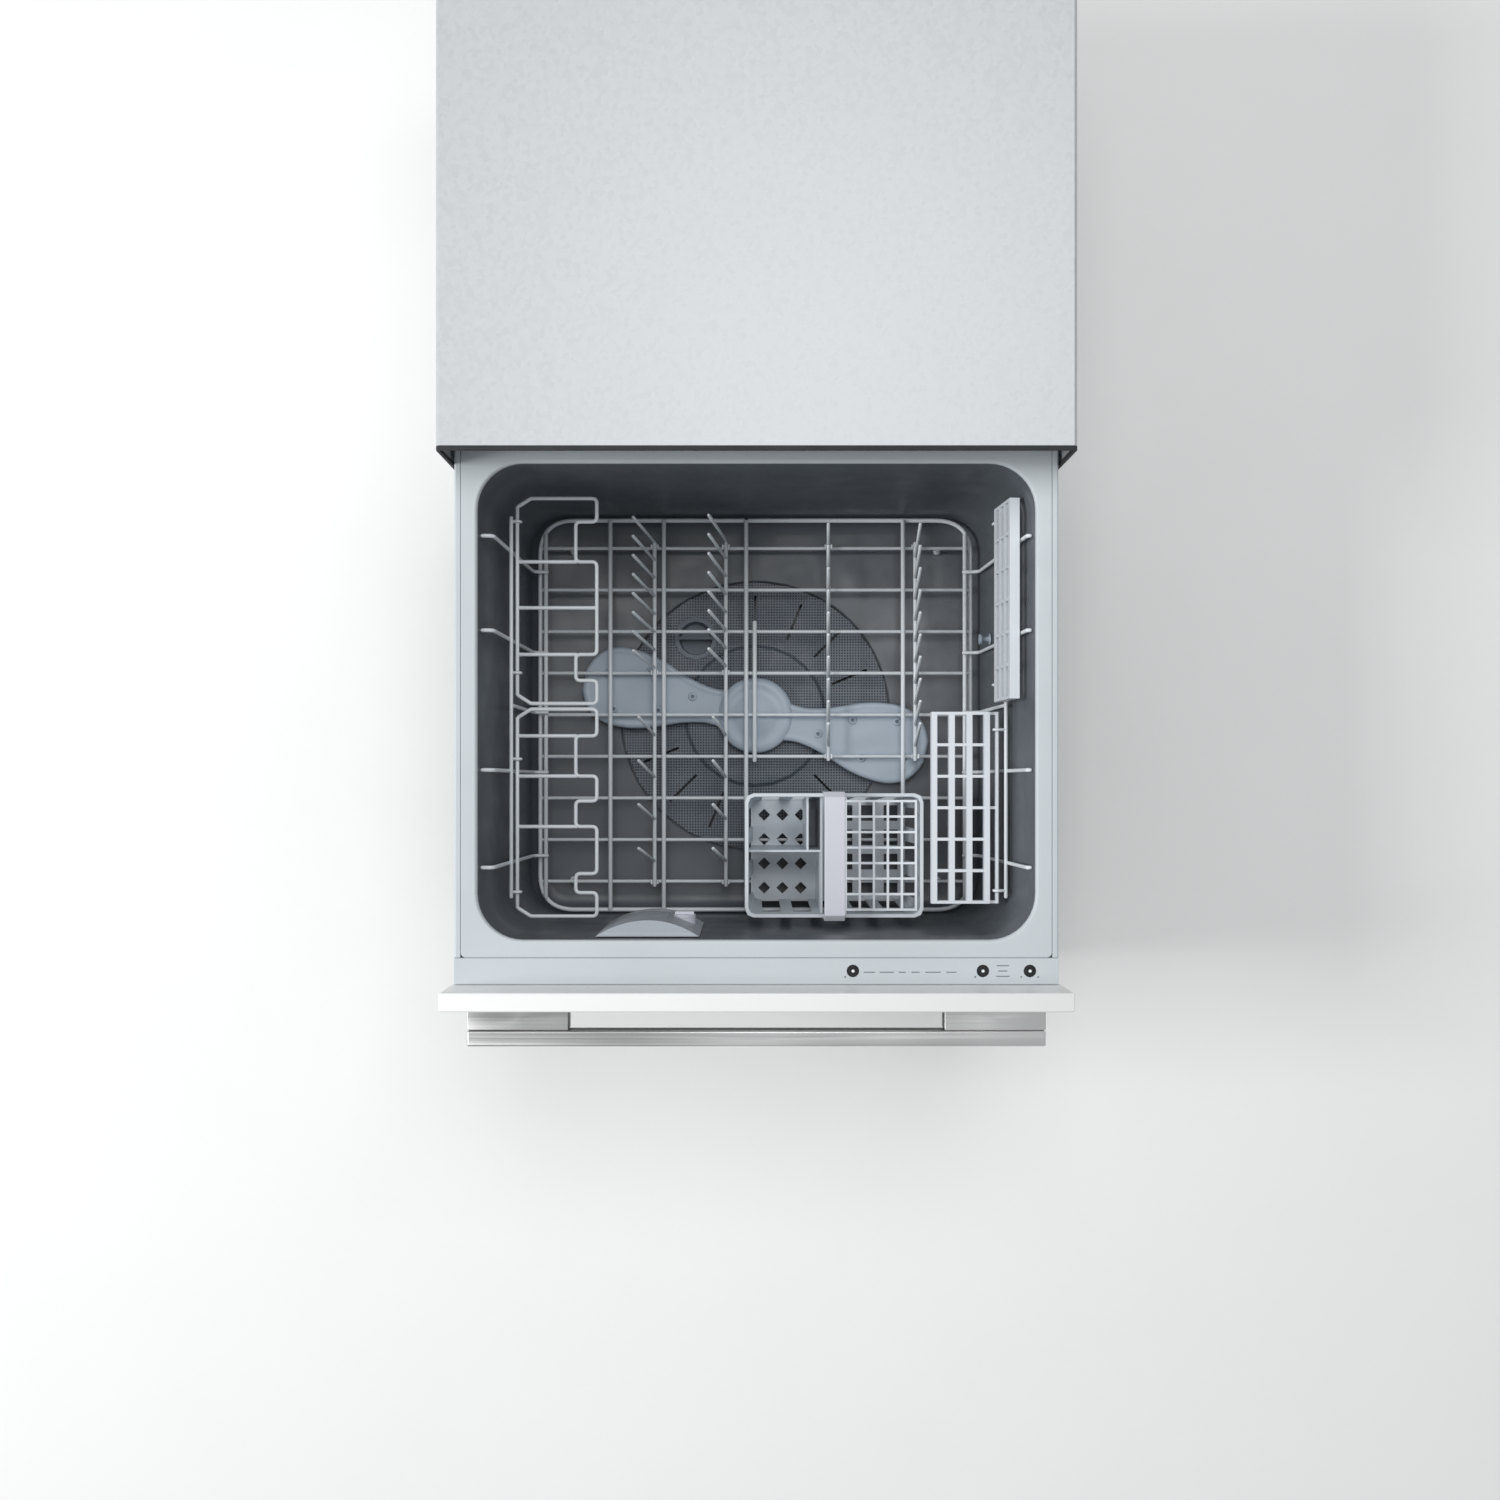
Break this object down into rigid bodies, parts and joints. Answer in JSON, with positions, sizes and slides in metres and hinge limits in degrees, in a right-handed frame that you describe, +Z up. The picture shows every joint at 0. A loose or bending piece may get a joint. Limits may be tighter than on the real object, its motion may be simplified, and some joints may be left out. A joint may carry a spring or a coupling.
{
  "type": "dishwasher drawer",
  "caption": "Built-in dishwasher drawer, pulled open: chassis, runners, closing lid and a tub with folding racks, cutlery basket, spray arm, dispenser and filter.",
  "frame": {"origin": "centre of the chassis' underside", "axes": "+Z up, the drawer opens towards -Y, X across"},
  "size_m": [0.599, 1.1147, 0.41],
  "materials": {
    "galvanised_sheet": "galvanised sheet",
    "zinc_steel": "zinc-plated",
    "seal_rubber": "matt rubber",
    "dark_plastic": "moulded",
    "rim_plastic": "satin moulded",
    "tub_plastic": "satin moulded",
    "button_black": "gloss black",
    "white_board": "white lacquer",
    "stainless": "brushed",
    "rotor_steel": "machined",
    "wash_plastic": "satin moulded",
    "rack_plastic": "satin moulded",
    "grey_plastic": "satin moulded",
    "coated_wire": "nylon-coated steel wire",
    "basket_plastic": "satin moulded"
  },
  "bodies": {
    "chassis": {"chassis_wrapper": "galvanised_sheet", "chassis_front_seal": "seal_rubber", "base_pan": "zinc_steel", "rear_panel": "zinc_steel", "fill_inlet": "dark_plastic", "drain_outlet": "dark_plastic", "cable_gland": "dark_plastic", "fixing_plate_right": "zinc_steel", "fixing_plate_left": "zinc_steel", "outer_runner_right": "zinc_steel", "outer_runner_left": "zinc_steel", "lid_lift_right": "dark_plastic", "lid_lift_left": "dark_plastic"},
    "lid": {"lid_panel": "rim_plastic", "lid_seal": "seal_rubber"},
    "middle_runners": {"middle_runner_right": "zinc_steel", "middle_runner_left": "zinc_steel"},
    "drawer": {"inner_runner_right": "zinc_steel", "inner_runner_left": "zinc_steel", "runner_bracket_right": "zinc_steel", "runner_bracket_left": "zinc_steel", "tub": "tub_plastic", "side_trim_right": "rim_plastic", "side_trim_left": "rim_plastic", "control_panel": "rim_plastic", "control_module": "dark_plastic", "front_frame": "zinc_steel", "front_panel": "white_board", "handle_bar": "stainless", "handle_mount_right": "stainless", "handle_mount_left": "stainless", "motor_housing": "dark_plastic", "heater_plate": "stainless", "filter_plate": "wash_plastic", "drain_spigot": "dark_plastic", "wall_nozzle": "wash_plastic", "dispenser_body": "rack_plastic", "base_rack": "coated_wire", "rack_side_left": "coated_wire", "rack_side_right": "coated_wire"},
    "program_key": {"program_button": "button_black"},
    "option_key": {"option_button": "button_black"},
    "power_key": {"power_button": "button_black"},
    "pump_rotor": {"motor_rotor": "rotor_steel", "wash_impeller": "wash_plastic"},
    "spray_rotor": {"spray_arm": "wash_plastic"},
    "filter_insert": {"drain_filter": "wash_plastic"},
    "detergent_door": {"dispenser_door": "rack_plastic"},
    "rinse_cap": {"rinse_aid_cap": "grey_plastic"},
    "saucer_row_left": {"saucer_tines_left": "coated_wire"},
    "saucer_row_right": {"saucer_tines_right": "coated_wire"},
    "plate_row_left": {"plate_tines_left": "coated_wire"},
    "plate_row_right": {"plate_tines_right": "coated_wire"},
    "left_rear_shelf": {"cup_rack_left_rear": "coated_wire"},
    "left_front_shelf": {"cup_rack_left_front": "coated_wire"},
    "right_rear_shelf": {"cup_rack_right_rear": "rack_plastic"},
    "right_front_shelf": {"cup_rack_right_front": "rack_plastic"},
    "basket": {"cutlery_basket": "basket_plastic", "basket_handle": "grey_plastic"},
    "basket_lid": {"basket_cover": "basket_plastic"}
  },
  "joints": [
    {"name": "lid_drop", "type": "slide", "parent": "chassis", "child": "lid", "axis": [0, 0, 1], "range_m": [-0.02, 0]},
    {"name": "drawer_slide", "type": "slide", "parent": "chassis", "child": "drawer", "axis": [0, -1, 0], "range_m": [-0.505, 0]},
    {"name": "middle_runner_slide", "type": "slide", "parent": "chassis", "child": "middle_runners", "axis": [0, -1, 0], "range_m": [-0.2525, 0]},
    {"name": "program_press", "type": "slide", "parent": "drawer", "child": "program_key", "axis": [0, 0, -1], "range_m": [0, 0.0012], "stiffness_N_per_m": 800},
    {"name": "option_press", "type": "slide", "parent": "drawer", "child": "option_key", "axis": [0, 0, -1], "range_m": [0, 0.0012], "stiffness_N_per_m": 800},
    {"name": "power_press", "type": "slide", "parent": "drawer", "child": "power_key", "axis": [0, 0, -1], "range_m": [0, 0.0012], "stiffness_N_per_m": 800},
    {"name": "pump_spin", "type": "hinge", "parent": "drawer", "child": "pump_rotor", "pos_m": [0, -0.50595, 0.03], "axis": [0, 0, 1], "continuous": true},
    {"name": "spray_spin", "type": "hinge", "parent": "drawer", "child": "spray_rotor", "pos_m": [0, -0.50595, 0.08], "axis": [0, 0, 1], "continuous": true},
    {"name": "filter_turn", "type": "hinge", "parent": "drawer", "child": "filter_insert", "pos_m": [-0.07, -0.41471, 0.07], "axis": [0, 0, 1], "range_deg": [0, 90]},
    {"name": "detergent_door_swing", "type": "hinge", "parent": "drawer", "child": "detergent_door", "pos_m": [-0.1187, -0.7245, 0.219], "axis": [-1, 0, 0], "range_deg": [0, 80]},
    {"name": "rinse_cap_turn", "type": "hinge", "parent": "drawer", "child": "rinse_cap", "pos_m": [-0.0747, -0.73, 0.251], "axis": [0, 1, 0], "range_deg": [0, 90]},
    {"name": "saucer_left_fold", "type": "hinge", "parent": "drawer", "child": "saucer_row_left", "pos_m": [-0.116, -0.385, 0.10621], "axis": [0, -1, 0], "range_deg": [0, 68]},
    {"name": "saucer_right_fold", "type": "hinge", "parent": "drawer", "child": "saucer_row_right", "pos_m": [-0.034, -0.385, 0.10621], "axis": [0, -1, 0], "range_deg": [0, 68]},
    {"name": "plate_left_fold", "type": "hinge", "parent": "drawer", "child": "plate_row_left", "pos_m": [0.084, -0.43, 0.10621], "axis": [0, -1, 0], "range_deg": [0, 74]},
    {"name": "plate_right_fold", "type": "hinge", "parent": "drawer", "child": "plate_row_right", "pos_m": [0.184, -0.43, 0.10621], "axis": [0, -1, 0], "range_deg": [0, 74]},
    {"name": "left_rear_shelf_fold", "type": "hinge", "parent": "drawer", "child": "left_rear_shelf", "pos_m": [-0.2495, -0.39, 0.252], "axis": [0, -1, 0], "range_deg": [0, 90]},
    {"name": "left_front_shelf_fold", "type": "hinge", "parent": "drawer", "child": "left_front_shelf", "pos_m": [-0.2495, -0.62, 0.252], "axis": [0, -1, 0], "range_deg": [0, 90]},
    {"name": "right_rear_shelf_fold", "type": "hinge", "parent": "drawer", "child": "right_rear_shelf", "pos_m": [0.252, -0.4, 0.252], "axis": [0, 1, 0], "range_deg": [-94.7, 0]},
    {"name": "right_front_shelf_fold", "type": "hinge", "parent": "drawer", "child": "right_front_shelf", "pos_m": [0.252, -0.61, 0.252], "axis": [0, 1, 0], "range_deg": [0, 94.7]},
    {"name": "basket_lift", "type": "slide", "parent": "drawer", "child": "basket", "axis": [0, 0, 1], "range_m": [0, 0.2]},
    {"name": "basket_lid_swing", "type": "hinge", "parent": "basket", "child": "basket_lid", "pos_m": [0.09495, -0.6615, 0.2377], "axis": [0, -1, 0], "range_deg": [0, 90]}
  ],
  "couplings": [
    {"joint": "middle_runner_slide", "follows": "drawer_slide", "ratio": 0.5}
  ]
}
